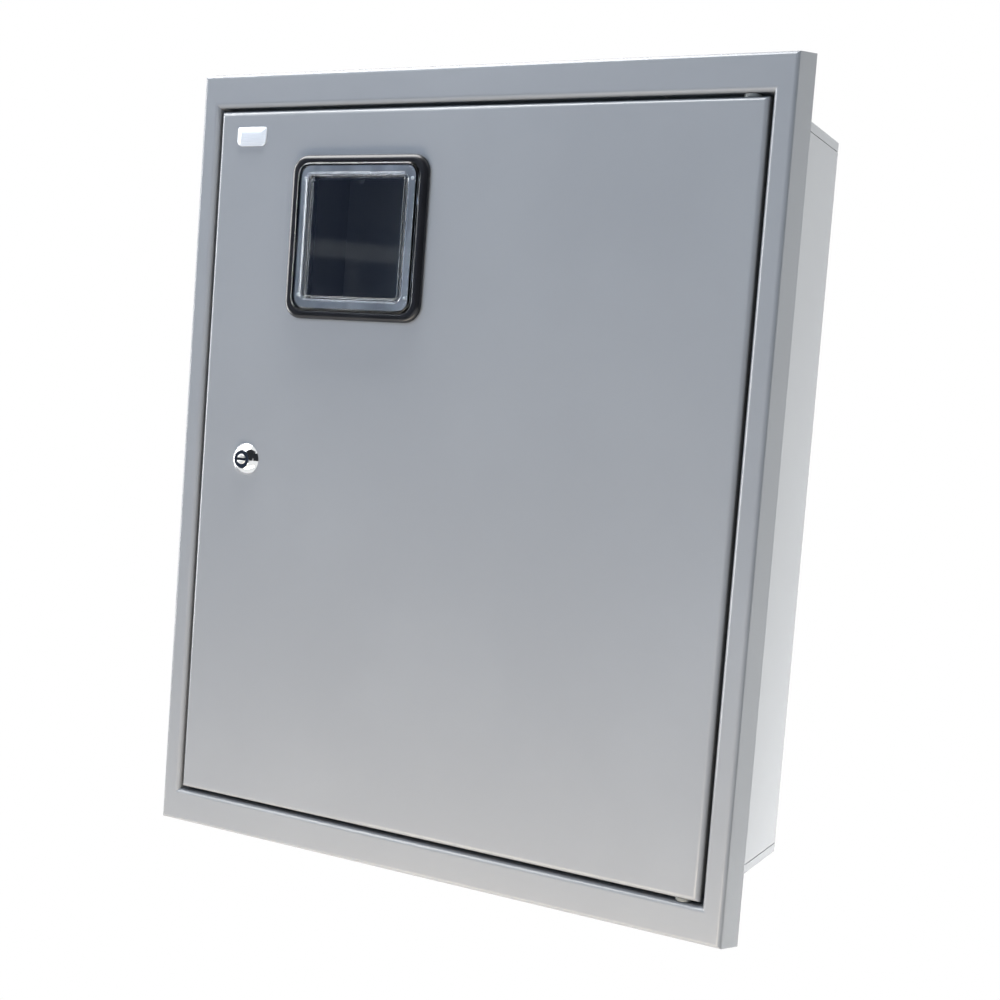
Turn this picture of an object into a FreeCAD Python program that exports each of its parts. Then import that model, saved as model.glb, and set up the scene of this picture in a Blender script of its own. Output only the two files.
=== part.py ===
import FreeCAD, Part
import math
import os

V = FreeCAD.Vector

# Flush-mounted steel meter box. Millimetres, +Z up. The front faces -Y.
# The origin is the centre of the four wall fixings, on the outside of the back.

# Overall size and sheet
overall_width = 440.0
overall_height = 540.0
overall_depth = 165.0
sheet = 1.2
bracket_sheet = 1.5

# Clearances that every fit below is worked out from
running_fit = 0.05
seat_gap = 0.3
bolt_clearance = 0.2
slip_fit = 0.3
cut_margin = 1.0
tiny = 0.01

# Trim frame: flared lip outside, flat face, return and rebate inside
frame_depth = 23.0
lip_flare = 4.0
lip_bend = 3.5
frame_border_side = 17.5
frame_border_top = 26.5
opening_bend = 3.6
rebate_setback = 1.0

# Casing behind the frame
casing_inset_side = 5.0
casing_rise_top = 4.0
casing_bend = 3.5
casing_flange = 14.0
lap_height = 7.0
lap_seam = 0.5
lap_edge = 0.8
wall_hole_radius = 4.0
wall_hole_inset_x = 77.5
wall_hole_inset_z = 57.5
knock_out_length = 60.0
knock_out_width = 30.0
knock_out_slot = 0.9
knock_out_bridge = 3.0
knock_out_pitch = 95.0
knock_out_count = 3

# Door
door_gap = 2.5
door_depth = 13.0
door_bend = 4.0
door_hem = 8.0
door_swing_inset = 12.0
door_swing_setback = 7.5

# Pivot hinges, one above and one below the door
pin_radius = 3.0
pin_reach = 8.0
washer_radius = 5.2
bracket_length = 30.0
bracket_width = 12.0
bracket_thickness = 3.0

# Meter window in the door
window_from_side = 121.0
window_from_top = 86.5
bezel_width = 108.0
bezel_height = 110.0
bezel_corner = 12.0
bezel_edge = 2.0
bezel_thickness = 3.5
bezel_wall = 1.5
gasket_thickness = 1.0
gasket_inset = 1.0
pane_width = 95.0
pane_height = 99.0
pane_corner = 9.0
pane_edge = 1.2
pane_rise = 2.0
pane_wall = 2.0
pane_depth = 8.7
sight_width = 75.0
sight_height = 79.0
sight_recess = 2.0
boss_radius = 3.6
boss_spacing_x = 85.0
boss_spacing_z = 78.0
clip_height = 7.0
clip_spacing = 50.0
rib_thickness = 1.0
rib_depth = 5.0
groove_depth = 0.5
ledge_thickness = 2.0
retainer_thickness = 2.0
retainer_border = 2.0

# Cam lock
lock_from_side = 40.0
lock_z = 0.0
lock_head_radius = 11.0
lock_head_height = 4.5
lock_edge = 1.6
lock_rim = 1.6
barrel_radius = 9.0
barrel_flat = 8.0
barrel_length = 20.0
plug_radius = 6.25
plug_proud = 0.5
key_slot_width = 8.4
key_slot_height = 1.8
key_slot_depth = 12.0
nut_across_flats = 24.0
nut_thickness = 3.5
cam_thickness = 2.5
cam_width = 15.0
cam_reach = 32.0
cam_hub_radius = 9.0
cam_tip_radius = 4.0
cam_square = 7.0
cam_screw_radius = 2.0
cam_screw_depth = 10.0
cam_screw_across_flats = 11.0
cam_screw_head = 2.6

# Blank name plate
badge_from_side = 28.3
badge_from_top = 18.0
badge_width = 24.5
badge_height = 13.0
badge_thickness = 1.6
badge_upper_corner = 1.6
badge_lower_corner = 4.0

# Uprights that carry everything inside
upright_inset = 27.5
upright_end_gap = 3.5
upright_foot = 20.0
upright_front = 18.0
upright_depth = 50.0
upright_bend = 2.0

# Plate for the meter
plate_top_gap = 8.5
plate_above_cover = 15.0
plate_fold = 10.0
plate_bend = 2.5
plate_overhang = 9.0
meter_slot_width = 6.0
meter_slot_length = 70.0
meter_slot_pitch = 90.0
meter_slot_end_gap = 10.0

# Mounting rails for clip-on devices
rail_height = 35.0
rail_depth = 7.5
rail_sheet = 1.0
rail_inner_height = 25.0
rail_above_cover_middle = 30.0
rail_overhang = 8.0
short_rail_length = 110.0
short_rail_from_upright = 71.0
short_rail_above_plate_middle = 27.5

# Cover over the live parts
cover_height = 220.0
cover_from_bottom = 18.5
cover_setback = 62.0
cover_overhang = 14.0
cover_fold = 12.0
cover_bend = 2.5
cover_slot_inset = 48.0
cover_slot_height = 46.0
post_across_flats = 8.0
post_stud_radius = 2.0
knob_radius = 7.0
knob_length = 11.5
knob_cap = 2.0

# Neutral and earth bars
bar_end_gap = 19.0
bar_height = 9.0
bar_depth = 12.0
bar_standoff = 38.0
bar_below_cover_middle = 60.0
bar_foot_width = 12.0
bar_foot_height = 22.0
bar_way_count = 4
bar_way_pitch = 22.0
bar_way_radius = 2.8

# Earth stud in the casing
stud_radius = 3.0
stud_length = 22.0
stud_from_side = 83.5
stud_from_bottom = 11.5
stud_nut_across_flats = 10.0
stud_nut = 5.0

# Planes worked out from the sizes above
front = -overall_depth
rebate_back = front + frame_depth
back_inside = -sheet
opening_width = overall_width - 2 * frame_border_side
opening_height = overall_height - 2 * frame_border_top
casing_width = opening_width - 2 * casing_inset_side
casing_height = opening_height + 2 * casing_rise_top
door_width = opening_width - 2 * door_gap
door_height = opening_height - 2 * door_gap
hinge_x = door_width / 2 - door_swing_inset
hinge_y = front + door_swing_setback
hinge_seat = opening_height / 2 + sheet
clear_width = casing_width - 2 * casing_flange
clear_height = casing_height - 2 * casing_flange
wall_hole_spacing_x = casing_width - 2 * wall_hole_inset_x
wall_hole_spacing_z = casing_height - 2 * wall_hole_inset_z
lap_shoulder = casing_height / 2 - lap_height

# Places on the door, from its top left corner
window_x = window_from_side - door_width / 2
window_z = door_height / 2 - window_from_top
lock_x = lock_from_side - door_width / 2
badge_x = badge_from_side - door_width / 2
badge_z = door_height / 2 - badge_from_top

# Places inside the casing
upright_spacing = clear_width - 2 * upright_inset
upright_height = clear_height - 2 * upright_end_gap
upright_face = back_inside - upright_depth
plate_face = upright_face - bracket_sheet
fixing_x = upright_spacing / 2
cover_front = front + cover_setback
cover_z = cover_from_bottom + cover_height / 2 - clear_height / 2
cover_slot_width = upright_spacing - 2 * cover_slot_inset
rail_z = cover_z + rail_above_cover_middle
plate_top = clear_height / 2 - plate_top_gap
plate_bottom = cover_z + cover_height / 2 + plate_above_cover
plate_height = plate_top - plate_bottom
plate_z = (plate_top + plate_bottom) / 2
short_rail_x = fixing_x - short_rail_from_upright
short_rail_z = plate_z + short_rail_above_plate_middle
bar_length = fixing_x - 2 * bar_end_gap
bar_x = fixing_x / 2
bar_z = cover_z - bar_below_cover_middle
stud_x = stud_from_side - clear_width / 2
stud_z = stud_from_bottom - clear_height / 2

# Window depths, from the front of the clear cover to the back of the sleeve
sleeve_width = pane_width + 2 * slip_fit + 2 * bezel_wall
sleeve_height = pane_height + 2 * slip_fit + 2 * bezel_wall
bezel_back = front - gasket_thickness
bezel_front = bezel_back - bezel_thickness
pane_front = bezel_front - pane_rise
pane_back = pane_front + pane_depth
sleeve_back = pane_back + ledge_thickness

# The cam passes just behind the front flange of the casing
lock_crown = front - lock_head_height
cam_front = rebate_back + sheet + seat_gap
cam_back = cam_front + cam_thickness

ALONG_X = V(1, 0, 0)
ALONG_Y = V(0, 1, 0)
ALONG_Z = V(0, 0, 1)


def box(x_low, x_high, y_low, y_high, z_low, z_high):
    size = (x_high - x_low, y_high - y_low, z_high - z_low)
    return Part.makeBox(*size, V(x_low, y_low, z_low))


def block(width, height, y_low, y_high, x=0.0, z=0.0):
    return box(x - width / 2, x + width / 2, y_low, y_high, z - height / 2, z + height / 2)


def straight_edges(shape, direction):
    found = []
    for edge in shape.Edges:
        if edge.Curve.TypeId != "Part::GeomLine":
            continue
        if abs(edge.Curve.Direction.dot(direction)) > 1 - tiny:
            found.append(edge)
    return found


def edges_on_plane(shape, y):
    found = []
    for edge in shape.Edges:
        limits = edge.BoundBox
        if abs(limits.YMin - y) < tiny and abs(limits.YMax - y) < tiny:
            found.append(edge)
    return found


def rounded_block(width, height, y_low, y_high, radius, x=0.0, z=0.0):
    solid = block(width, height, y_low, y_high, x, z)
    return solid.makeFillet(radius, straight_edges(solid, ALONG_Y))


def rod_y(radius, y_low, y_high, x, z):
    return Part.makeCylinder(radius, y_high - y_low, V(x, y_low, z), ALONG_Y)


def rod_z(radius, z_low, z_high, x, y):
    return Part.makeCylinder(radius, z_high - z_low, V(x, y, z_low), ALONG_Z)


def hexagon_y(across_flats, y_low, y_high, x, z):
    corner_radius = across_flats / math.sqrt(3)
    corners = []
    for step in range(7):
        angle = math.radians(60 * step)
        corners.append(V(x + corner_radius * math.cos(angle), y_low, z + corner_radius * math.sin(angle)))
    face = Part.Face(Part.makePolygon(corners))
    return face.extrude(V(0, y_high - y_low, 0))


def join(shapes):
    whole = shapes[0].fuse(shapes[1:])
    return whole.removeSplitter()


def group(shapes):
    return Part.makeCompound(shapes)


def spread(count, pitch):
    return [pitch * (index - (count - 1) / 2) for index in range(count)]


def corners_of(width, height, x=0.0, z=0.0):
    return [(x + side * width / 2, z + level * height / 2) for side in (-1, 1) for level in (-1, 1)]


def flipped_upside_down(shape):
    return shape.mirror(V(0, 0, 0), ALONG_Z)


def save(name, shape):
    shape.exportStep(os.path.join("parts", name + ".step"))


# Trim frame

def lip_block(inset, setback, bend):
    lean = lip_flare * (1 - setback / frame_depth)
    near_x = overall_width / 2 - inset - lean
    near_z = overall_height / 2 - inset - lean
    far_x = overall_width / 2 - inset
    far_z = overall_height / 2 - inset
    solid = Part.makeWedge(-near_x, front + setback, -near_z, -far_z, -far_x,
                           near_x, rebate_back, near_z, far_z, far_x)
    return solid.makeFillet(bend, edges_on_plane(solid, front + setback))


def rim_edges(shape, y, reach_x, reach_z):
    found = []
    for edge in edges_on_plane(shape, y):
        middle = edge.CenterOfMass
        if abs(middle.x) < reach_x and abs(middle.z) < reach_z:
            found.append(edge)
    return found


def frame_channel():
    lean_angle = math.atan(lip_flare / frame_depth)
    channel = lip_block(sheet / math.cos(lean_angle), sheet, lip_bend - sheet)
    return_width = opening_width + 2 * sheet
    return_height = opening_height + 2 * sheet
    channel = channel.cut(block(return_width, return_height, front, 0))
    inner = rim_edges(channel, front + sheet, return_width / 2 + cut_margin, return_height / 2 + cut_margin)
    return channel.makeFillet(opening_bend - sheet, inner)


def make_trim_frame():
    frame = lip_block(0, 0, lip_bend)
    frame = frame.cut(block(opening_width, opening_height, front - cut_margin, rebate_back - sheet))
    rim = rim_edges(frame, front, opening_width / 2 + cut_margin, opening_height / 2 + cut_margin)
    frame = frame.makeFillet(opening_bend, rim)
    mouth_width = clear_width + 2 * rebate_setback
    mouth_height = clear_height + 2 * rebate_setback
    frame = frame.cut(block(mouth_width, mouth_height, front, 0))
    frame = frame.cut(frame_channel())
    reach = hinge_seat + cut_margin
    return frame.cut(rod_z(pin_radius + running_fit, -reach, reach, hinge_x, hinge_y))


# Casing

def casing_block(inset, z_low, z_high):
    half_width = casing_width / 2 - inset
    solid = box(-half_width, half_width, rebate_back + inset, -inset, z_low, z_high)
    return solid.makeFillet(casing_bend - inset, straight_edges(solid, ALONG_Z))


def make_casing_shell():
    # Above and below the shoulders the sheet steps in, so that the top and bottom lap over it flush
    half_height = casing_height / 2 - sheet
    past_end = half_height + cut_margin
    inner_shoulder = lap_shoulder - sheet
    outside = casing_block(0, -lap_shoulder, lap_shoulder)
    outside = join([outside, casing_block(sheet, -half_height, half_height)])
    inside = casing_block(sheet, -inner_shoulder, inner_shoulder)
    inside = join([inside, casing_block(2 * sheet, -past_end, past_end)])
    mouth = block(clear_width, 2 * past_end, rebate_back - cut_margin, back_inside - sheet)
    wall_holes = []
    for x, z in corners_of(wall_hole_spacing_x, wall_hole_spacing_z):
        wall_holes.append(rod_y(wall_hole_radius, back_inside - cut_margin, cut_margin, x, z))
    return outside.cut([inside, mouth] + wall_holes)


def knock_out(x, y, z_low, z_high):
    half_length = knock_out_length / 2
    half_width = knock_out_width / 2
    half_bridge = knock_out_bridge / 2
    outer = box(x - half_length, x + half_length, y - half_width, y + half_width, z_low, z_high)
    inner_length = half_length - knock_out_slot
    inner_width = half_width - knock_out_slot
    inner = box(x - inner_length, x + inner_length, y - inner_width, y + inner_width, z_low, z_high)
    bridge = box(x - half_bridge, x + half_bridge, y - half_width, y + half_width, z_low, z_high)
    return outer.cut([inner, bridge])


def make_casing_top():
    top = casing_height / 2
    cap = casing_block(0, lap_shoulder + lap_seam, top)
    rim = [edge for edge in cap.Edges if edge.BoundBox.ZMin > top - tiny]
    cap = cap.makeChamfer(lap_edge, rim)
    cap = cap.cut(casing_block(sheet, lap_shoulder, top - sheet))
    flange_half = clear_width / 2 - slip_fit
    flange_back = rebate_back + sheet
    front_flange = box(-flange_half, flange_half, rebate_back, flange_back, clear_height / 2, top - sheet)
    panel = join([cap, front_flange])
    middle = (rebate_back + back_inside) / 2
    rings = []
    for x in spread(knock_out_count, knock_out_pitch):
        rings.append(knock_out(x, middle, top - 2 * sheet, top + sheet))
    return panel.cut(rings)


# Hinges

def make_hinge_bracket():
    y_low = front + opening_bend
    y_high = y_low + bracket_width
    top = hinge_seat + bracket_thickness
    half_length = bracket_length / 2
    plate = box(hinge_x - half_length, hinge_x + half_length, y_low, y_high, hinge_seat, top)
    pin = rod_z(pin_radius, door_height / 2 - pin_reach, top, hinge_x, hinge_y)
    return join([plate, pin])


def make_hinge_washer():
    seat = door_height / 2
    top = seat + door_gap - seat_gap
    washer = rod_z(washer_radius, seat, top, hinge_x, hinge_y)
    return washer.cut(rod_z(pin_radius + running_fit, seat, top, hinge_x, hinge_y))


# Door

def lock_barrel(extra, y_low, y_high):
    barrel = rod_y(barrel_radius + extra, y_low, y_high, lock_x, lock_z)
    across = 2 * (barrel_radius + cut_margin)
    return barrel.common(block(across, 2 * (barrel_flat + extra), y_low, y_high, lock_x, lock_z))


def window_cut_out(y_low, y_high):
    corner = pane_corner + bezel_wall + slip_fit
    return window_block(sleeve_width + 2 * slip_fit, sleeve_height + 2 * slip_fit, y_low, y_high, corner)


def make_door_panel():
    rear = front + door_depth
    outside = block(door_width, door_height, front, rear)
    outside = outside.makeFillet(door_bend, edges_on_plane(outside, front))
    inside = block(door_width - 2 * sheet, door_height - 2 * sheet, front + sheet, rear - sheet)
    inside = inside.makeFillet(door_bend - sheet, edges_on_plane(inside, front + sheet))
    mouth = block(door_width - 2 * door_hem, door_height - 2 * door_hem, rear - 2 * sheet, rear + cut_margin)
    window = window_cut_out(front - cut_margin, front + sheet + cut_margin)
    pin_holes = rod_z(pin_radius + running_fit, -door_height, door_height, hinge_x, hinge_y)
    lock_hole = lock_barrel(2 * running_fit, front - cut_margin, front + sheet + cut_margin)
    return outside.cut([inside, mouth, window, pin_holes, lock_hole])


# Meter window

def window_block(width, height, y_low, y_high, corner):
    return rounded_block(width, height, y_low, y_high, corner, window_x, window_z)


def sight_block(extra, y_low, y_high):
    return block(sight_width + 2 * extra, sight_height + 2 * extra, y_low, y_high, window_x, window_z)


def make_window_gasket():
    width = bezel_width - 2 * gasket_inset
    height = bezel_height - 2 * gasket_inset
    ring = window_block(width, height, bezel_back, front, bezel_corner - gasket_inset)
    return ring.cut(window_cut_out(bezel_back - cut_margin, front + cut_margin))


def make_window_bezel():
    flange = window_block(bezel_width, bezel_height, bezel_front, bezel_back, bezel_corner)
    flange = flange.makeChamfer(bezel_edge, edges_on_plane(flange, bezel_front))
    overlap = bezel_back - cut_margin
    sleeve = window_block(sleeve_width, sleeve_height, overlap, sleeve_back, pane_corner + bezel_wall)
    pocket_width = pane_width + 2 * slip_fit
    pocket_height = pane_height + 2 * slip_fit
    mouth = bezel_front - cut_margin
    pocket = window_block(pocket_width, pocket_height, mouth, pane_back, pane_corner + slip_fit)
    sight = sight_block(0, pane_back - cut_margin, sleeve_back + cut_margin)
    return join([flange, sleeve]).cut([pocket, sight])


def make_window_pane():
    lid = window_block(pane_width, pane_height, pane_front, pane_back, pane_corner)
    lid = lid.makeChamfer(pane_edge, edges_on_plane(lid, pane_front))
    skin_back = pane_front + pane_wall
    hollow_width = pane_width - 2 * pane_wall
    hollow_height = pane_height - 2 * pane_wall
    mouth = pane_back + cut_margin
    lid = lid.cut(window_block(hollow_width, hollow_height, skin_back, mouth, pane_corner - pane_wall))
    overlap = skin_back - pane_wall / 2
    parts = [lid, sight_block(pane_wall, overlap, skin_back + sight_recess)]
    for x, z in corners_of(boss_spacing_x, boss_spacing_z, window_x, window_z):
        parts.append(rod_y(boss_radius, overlap, pane_back, x, z))
    channel_width = (hollow_width - sight_width) / 2 - pane_wall
    channel_x = (hollow_width - channel_width) / 2
    for side in (-1, 1):
        x = window_x + side * channel_x
        rib_back = skin_back + rib_depth - pane_wall
        parts.append(block(rib_thickness, clip_spacing, overlap, rib_back, x, window_z))
        for z in spread(2, clip_spacing):
            clip_width = channel_width + pane_wall
            parts.append(block(clip_width, clip_height, overlap, skin_back + rib_depth, x, window_z + z))
    recess = sight_block(0, pane_front - cut_margin, pane_front + sight_recess)
    groove_z = window_z + sight_height / 2 + pane_wall
    groove_back = pane_front + groove_depth
    groove = block(sight_width, rib_thickness, pane_front - cut_margin, groove_back, window_x, groove_z)
    return join(parts).cut([recess, groove])


def make_window_retainer():
    width = bezel_width + 2 * retainer_border
    height = bezel_height + 2 * retainer_border
    corner = bezel_corner + retainer_border
    back = sleeve_back + retainer_thickness
    frame = window_block(width, height, front + sheet, back, corner)
    cavity_width = width - 2 * retainer_thickness
    cavity_height = height - 2 * retainer_thickness
    cavity = window_block(cavity_width, cavity_height, front, sleeve_back, corner - retainer_thickness)
    sight = sight_block(pane_wall / 2, front, back + cut_margin)
    return frame.cut([cavity, sight])


# Lock

def turned_about_lock(points):
    corners = [V(lock_x + radius, y, lock_z) for radius, y in points]
    section = Part.Face(Part.makePolygon(corners + corners[:1]))
    return section.revolve(V(lock_x, 0, lock_z), ALONG_Y, 360)


def make_lock_housing():
    bore = plug_radius + running_fit
    side_top = lock_crown + lock_head_height - lock_edge
    crown_radius = bore + lock_rim
    head = turned_about_lock([(bore, lock_crown), (crown_radius, lock_crown), (lock_head_radius, side_top),
                              (lock_head_radius, front), (bore, front)])
    barrel = lock_barrel(0, front, front + barrel_length)
    return join([head, barrel.cut(rod_y(bore, front, front + barrel_length, lock_x, lock_z))])


def make_lock_plug():
    face = lock_crown - plug_proud
    plug = rod_y(plug_radius, face, cam_front, lock_x, lock_z)
    tail = block(cam_square, cam_square, cam_front, cam_back, lock_x, lock_z)
    slot_back = face + key_slot_depth
    key_slot = block(key_slot_width, key_slot_height, face - cut_margin, slot_back, lock_x, lock_z)
    hole = rod_y(cam_screw_radius, cam_back - cam_screw_depth, cam_back + cut_margin, lock_x, lock_z)
    return join([plug, tail]).cut([key_slot, hole])


def make_lock_nut():
    back = front + sheet + nut_thickness
    nut = hexagon_y(nut_across_flats, front + sheet, back, lock_x, lock_z)
    return nut.cut(rod_y(barrel_radius + running_fit, front, back + cut_margin, lock_x, lock_z))


def make_lock_cam():
    hub = rod_y(cam_hub_radius, cam_front, cam_back, lock_x, lock_z)
    arm = block(cam_width, cam_reach, cam_front, cam_back, lock_x, lock_z - cam_reach / 2)
    tips = [edge for edge in straight_edges(arm, ALONG_Y) if edge.CenterOfMass.z < lock_z - cam_reach / 2]
    arm = arm.makeFillet(cam_tip_radius, tips)
    square = cam_square + 2 * running_fit
    return join([hub, arm]).cut(block(square, square, cam_front, cam_back, lock_x, lock_z))


def make_cam_screw():
    head = hexagon_y(cam_screw_across_flats, cam_back, cam_back + cam_screw_head, lock_x, lock_z)
    shank_end = cam_back - cam_screw_depth + cut_margin
    shank = rod_y(cam_screw_radius - running_fit, shank_end, cam_back, lock_x, lock_z)
    return join([head, shank])


def make_badge_plate():
    plate = block(badge_width, badge_height, front - badge_thickness, front, badge_x, badge_z)
    upper = [edge for edge in straight_edges(plate, ALONG_Y) if edge.CenterOfMass.z > badge_z]
    plate = plate.makeFillet(badge_upper_corner, upper)
    bottom = badge_z - badge_height / 2
    lower = [edge for edge in straight_edges(plate, ALONG_Y) if edge.CenterOfMass.z < bottom + tiny]
    return plate.makeFillet(badge_lower_corner, lower)


# Inner fittings

def make_upright(side):
    web = side * (fixing_x + upright_front / 2)
    inner = side * (fixing_x - upright_front / 2)
    outer = web + side * upright_foot
    half = upright_height / 2
    foot = box(min(web, outer), max(web, outer), back_inside - bracket_sheet, back_inside, -half, half)
    wall_low = min(web, web - side * bracket_sheet)
    wall = box(wall_low, wall_low + bracket_sheet, upright_face, back_inside, -half, half)
    face = box(min(web, inner), max(web, inner), upright_face, upright_face + bracket_sheet, -half, half)
    post = join([foot, wall, face])
    fold = []
    for edge in straight_edges(post, ALONG_Z):
        middle = edge.CenterOfMass
        if abs(middle.x - web) < tiny and abs(middle.y - upright_face) < tiny:
            fold.append(edge)
    return post.makeFillet(upright_bend, fold)


def front_edges_along_x(shape, y):
    return [edge for edge in straight_edges(shape, ALONG_X) if abs(edge.CenterOfMass.y - y) < tiny]


def meter_slot_places():
    half_rise = (plate_height - meter_slot_length) / 2 - meter_slot_end_gap
    half_pitch = meter_slot_pitch / 2
    lower = plate_z - half_rise
    return [(window_x, plate_z + half_rise), (window_x - half_pitch, lower), (window_x + half_pitch, lower)]


def make_meter_plate():
    width = 2 * (fixing_x + plate_overhang)
    fold_back = plate_face + plate_fold
    outside = block(width, plate_height, plate_face, fold_back, 0, plate_z)
    outside = outside.makeFillet(plate_bend, front_edges_along_x(outside, plate_face))
    inside_height = plate_height - 2 * bracket_sheet
    inside = block(width + 2 * cut_margin, inside_height, upright_face, fold_back + cut_margin, 0, plate_z)
    inside = inside.makeFillet(plate_bend - bracket_sheet, front_edges_along_x(inside, upright_face))
    cuts = [inside]
    notch = upright_front + plate_overhang + 2 * cut_margin
    for side in (-1, 1):
        x = side * (fixing_x + (plate_overhang - upright_front / 2) / 2)
        cuts.append(block(notch, 2 * plate_height, upright_face, 0, x, plate_z))
    for x, z in meter_slot_places():
        far = upright_face + cut_margin
        cuts.append(block(meter_slot_width, meter_slot_length, plate_face - cut_margin, far, x, z))
    return outside.cut(cuts)


def top_hat_rail(length, x, y_seat, z):
    face = y_seat - rail_depth
    rail = block(length, rail_inner_height + 2 * rail_sheet, face, y_seat, x, z)
    channel_back = y_seat - rail_sheet
    channel = block(length + 2 * cut_margin, rail_inner_height, face - cut_margin, channel_back, x, z)
    lip_height = (rail_height - rail_inner_height) / 2
    lips = []
    for side in (-1, 1):
        centre = z + side * (rail_height - lip_height) / 2
        lips.append(block(length, lip_height, face, face + rail_sheet, x, centre))
    return join([rail.cut(channel)] + lips)


def make_module_rail():
    return top_hat_rail(upright_spacing + 2 * rail_overhang, 0, upright_face, rail_z)


def make_switch_rail():
    return top_hat_rail(short_rail_length, short_rail_x, plate_face, short_rail_z)


# Cover and its thumb nuts

def make_cover_panel():
    width = upright_spacing + 2 * cover_overhang
    fold_back = cover_front + cover_fold
    outside = block(width, cover_height, cover_front, fold_back, 0, cover_z)
    outside = outside.makeFillet(cover_bend, edges_on_plane(outside, cover_front))
    skin_back = cover_front + sheet
    inside_width = width - 2 * sheet
    inside_height = cover_height - 2 * sheet
    inside = block(inside_width, inside_height, skin_back, fold_back + cut_margin, 0, cover_z)
    inside = inside.makeFillet(cover_bend - sheet, edges_on_plane(inside, skin_back))
    near = cover_front - cut_margin
    far = skin_back + cut_margin
    cuts = [inside, block(cover_slot_width, cover_slot_height, near, far, 0, rail_z)]
    for x in (-fixing_x, fixing_x):
        cuts.append(rod_y(post_stud_radius + bolt_clearance, near, far, x, cover_z))
    return outside.cut(cuts)


def make_cover_posts():
    posts = []
    skin_back = cover_front + sheet
    stud_end = cover_front - knob_length + 2 * knob_cap
    for x in (-fixing_x, fixing_x):
        post = hexagon_y(post_across_flats, skin_back, upright_face, x, cover_z)
        posts.append(join([post, rod_y(post_stud_radius, stud_end, skin_back, x, cover_z)]))
    return group(posts)


def make_cover_knobs():
    knobs = []
    for x in (-fixing_x, fixing_x):
        grip = rod_y(knob_radius, cover_front - knob_length, cover_front, x, cover_z)
        bore_end = cover_front - knob_length + knob_cap
        knobs.append(grip.cut(rod_y(post_stud_radius + running_fit, bore_end, cover_front, x, cover_z)))
    return group(knobs)


# Bars and stud

def make_bar(x):
    rear = back_inside - bar_standoff
    face = rear - bar_depth
    bar = block(bar_length, bar_height, face, rear, x, bar_z)
    middle = (face + rear) / 2
    ways = []
    for step in spread(bar_way_count, bar_way_pitch):
        ways.append(rod_z(bar_way_radius, bar_z - bar_height, bar_z + bar_height, x + step, middle))
    return bar.cut(ways)


def make_bar_feet(x):
    rear = back_inside - bar_standoff
    grip = rear - bar_depth / 2
    feet = []
    for step in spread(2, bar_length - bar_foot_width):
        foot = block(bar_foot_width, bar_foot_height, grip, back_inside, x + step, bar_z)
        feet.append(foot.cut(block(bar_foot_width, bar_height, grip, rear, x + step, bar_z)))
    return group(feet)


def make_earth_stud():
    return rod_y(stud_radius, back_inside - stud_length, back_inside, stud_x, stud_z)


def make_earth_stud_nut():
    nut = hexagon_y(stud_nut_across_flats, back_inside - stud_nut, back_inside, stud_x, stud_z)
    bore = rod_y(stud_radius + running_fit, back_inside - 2 * stud_nut, 0, stud_x, stud_z)
    return nut.cut(bore)


os.makedirs("parts", exist_ok=True)

casing_top = make_casing_top()
hinge_bracket = make_hinge_bracket()
hinge_washer = make_hinge_washer()

save("casing_shell", make_casing_shell())
save("casing_top", casing_top)
save("casing_bottom", flipped_upside_down(casing_top))
save("trim_frame", make_trim_frame())
save("hinge_bracket_top", hinge_bracket)
save("hinge_bracket_bottom", flipped_upside_down(hinge_bracket))
save("upright_left", make_upright(-1))
save("upright_right", make_upright(1))
save("meter_plate", make_meter_plate())
save("module_rail", make_module_rail())
save("switch_rail", make_switch_rail())
save("cover_panel", make_cover_panel())
save("cover_posts", make_cover_posts())
save("cover_knobs", make_cover_knobs())
save("neutral_bar", make_bar(-bar_x))
save("earth_bar", make_bar(bar_x))
save("neutral_bar_feet", make_bar_feet(-bar_x))
save("earth_bar_feet", make_bar_feet(bar_x))
save("earth_stud", make_earth_stud())
save("earth_stud_nut", make_earth_stud_nut())

save("door_panel", make_door_panel())
save("hinge_washer_top", hinge_washer)
save("hinge_washer_bottom", flipped_upside_down(hinge_washer))
save("window_gasket", make_window_gasket())
save("window_bezel", make_window_bezel())
save("window_pane", make_window_pane())
save("window_retainer", make_window_retainer())
save("lock_housing", make_lock_housing())
save("lock_nut", make_lock_nut())
save("badge_plate", make_badge_plate())

save("lock_plug", make_lock_plug())
save("lock_cam", make_lock_cam())
save("cam_screw", make_cam_screw())
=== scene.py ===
import math

import bmesh
import bpy
from mathutils import Matrix, Vector


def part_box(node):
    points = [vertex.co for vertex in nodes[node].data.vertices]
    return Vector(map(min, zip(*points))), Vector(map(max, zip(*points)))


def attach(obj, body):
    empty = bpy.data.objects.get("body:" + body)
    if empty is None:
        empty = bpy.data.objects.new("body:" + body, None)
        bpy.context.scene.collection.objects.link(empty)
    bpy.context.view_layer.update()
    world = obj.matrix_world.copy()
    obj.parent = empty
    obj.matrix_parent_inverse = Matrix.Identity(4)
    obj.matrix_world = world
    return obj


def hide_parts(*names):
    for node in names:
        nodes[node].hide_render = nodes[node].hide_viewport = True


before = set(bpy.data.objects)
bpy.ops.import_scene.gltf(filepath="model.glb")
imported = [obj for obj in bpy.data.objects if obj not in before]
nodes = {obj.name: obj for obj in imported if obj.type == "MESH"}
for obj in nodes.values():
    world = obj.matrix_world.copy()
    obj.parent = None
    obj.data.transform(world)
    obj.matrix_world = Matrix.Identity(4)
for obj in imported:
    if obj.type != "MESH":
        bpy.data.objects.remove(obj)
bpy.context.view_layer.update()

mm = 0.001
scene = bpy.context.scene
print("frame loaded:", len(nodes), "nodes")


# shader maths as Python expressions

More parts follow.
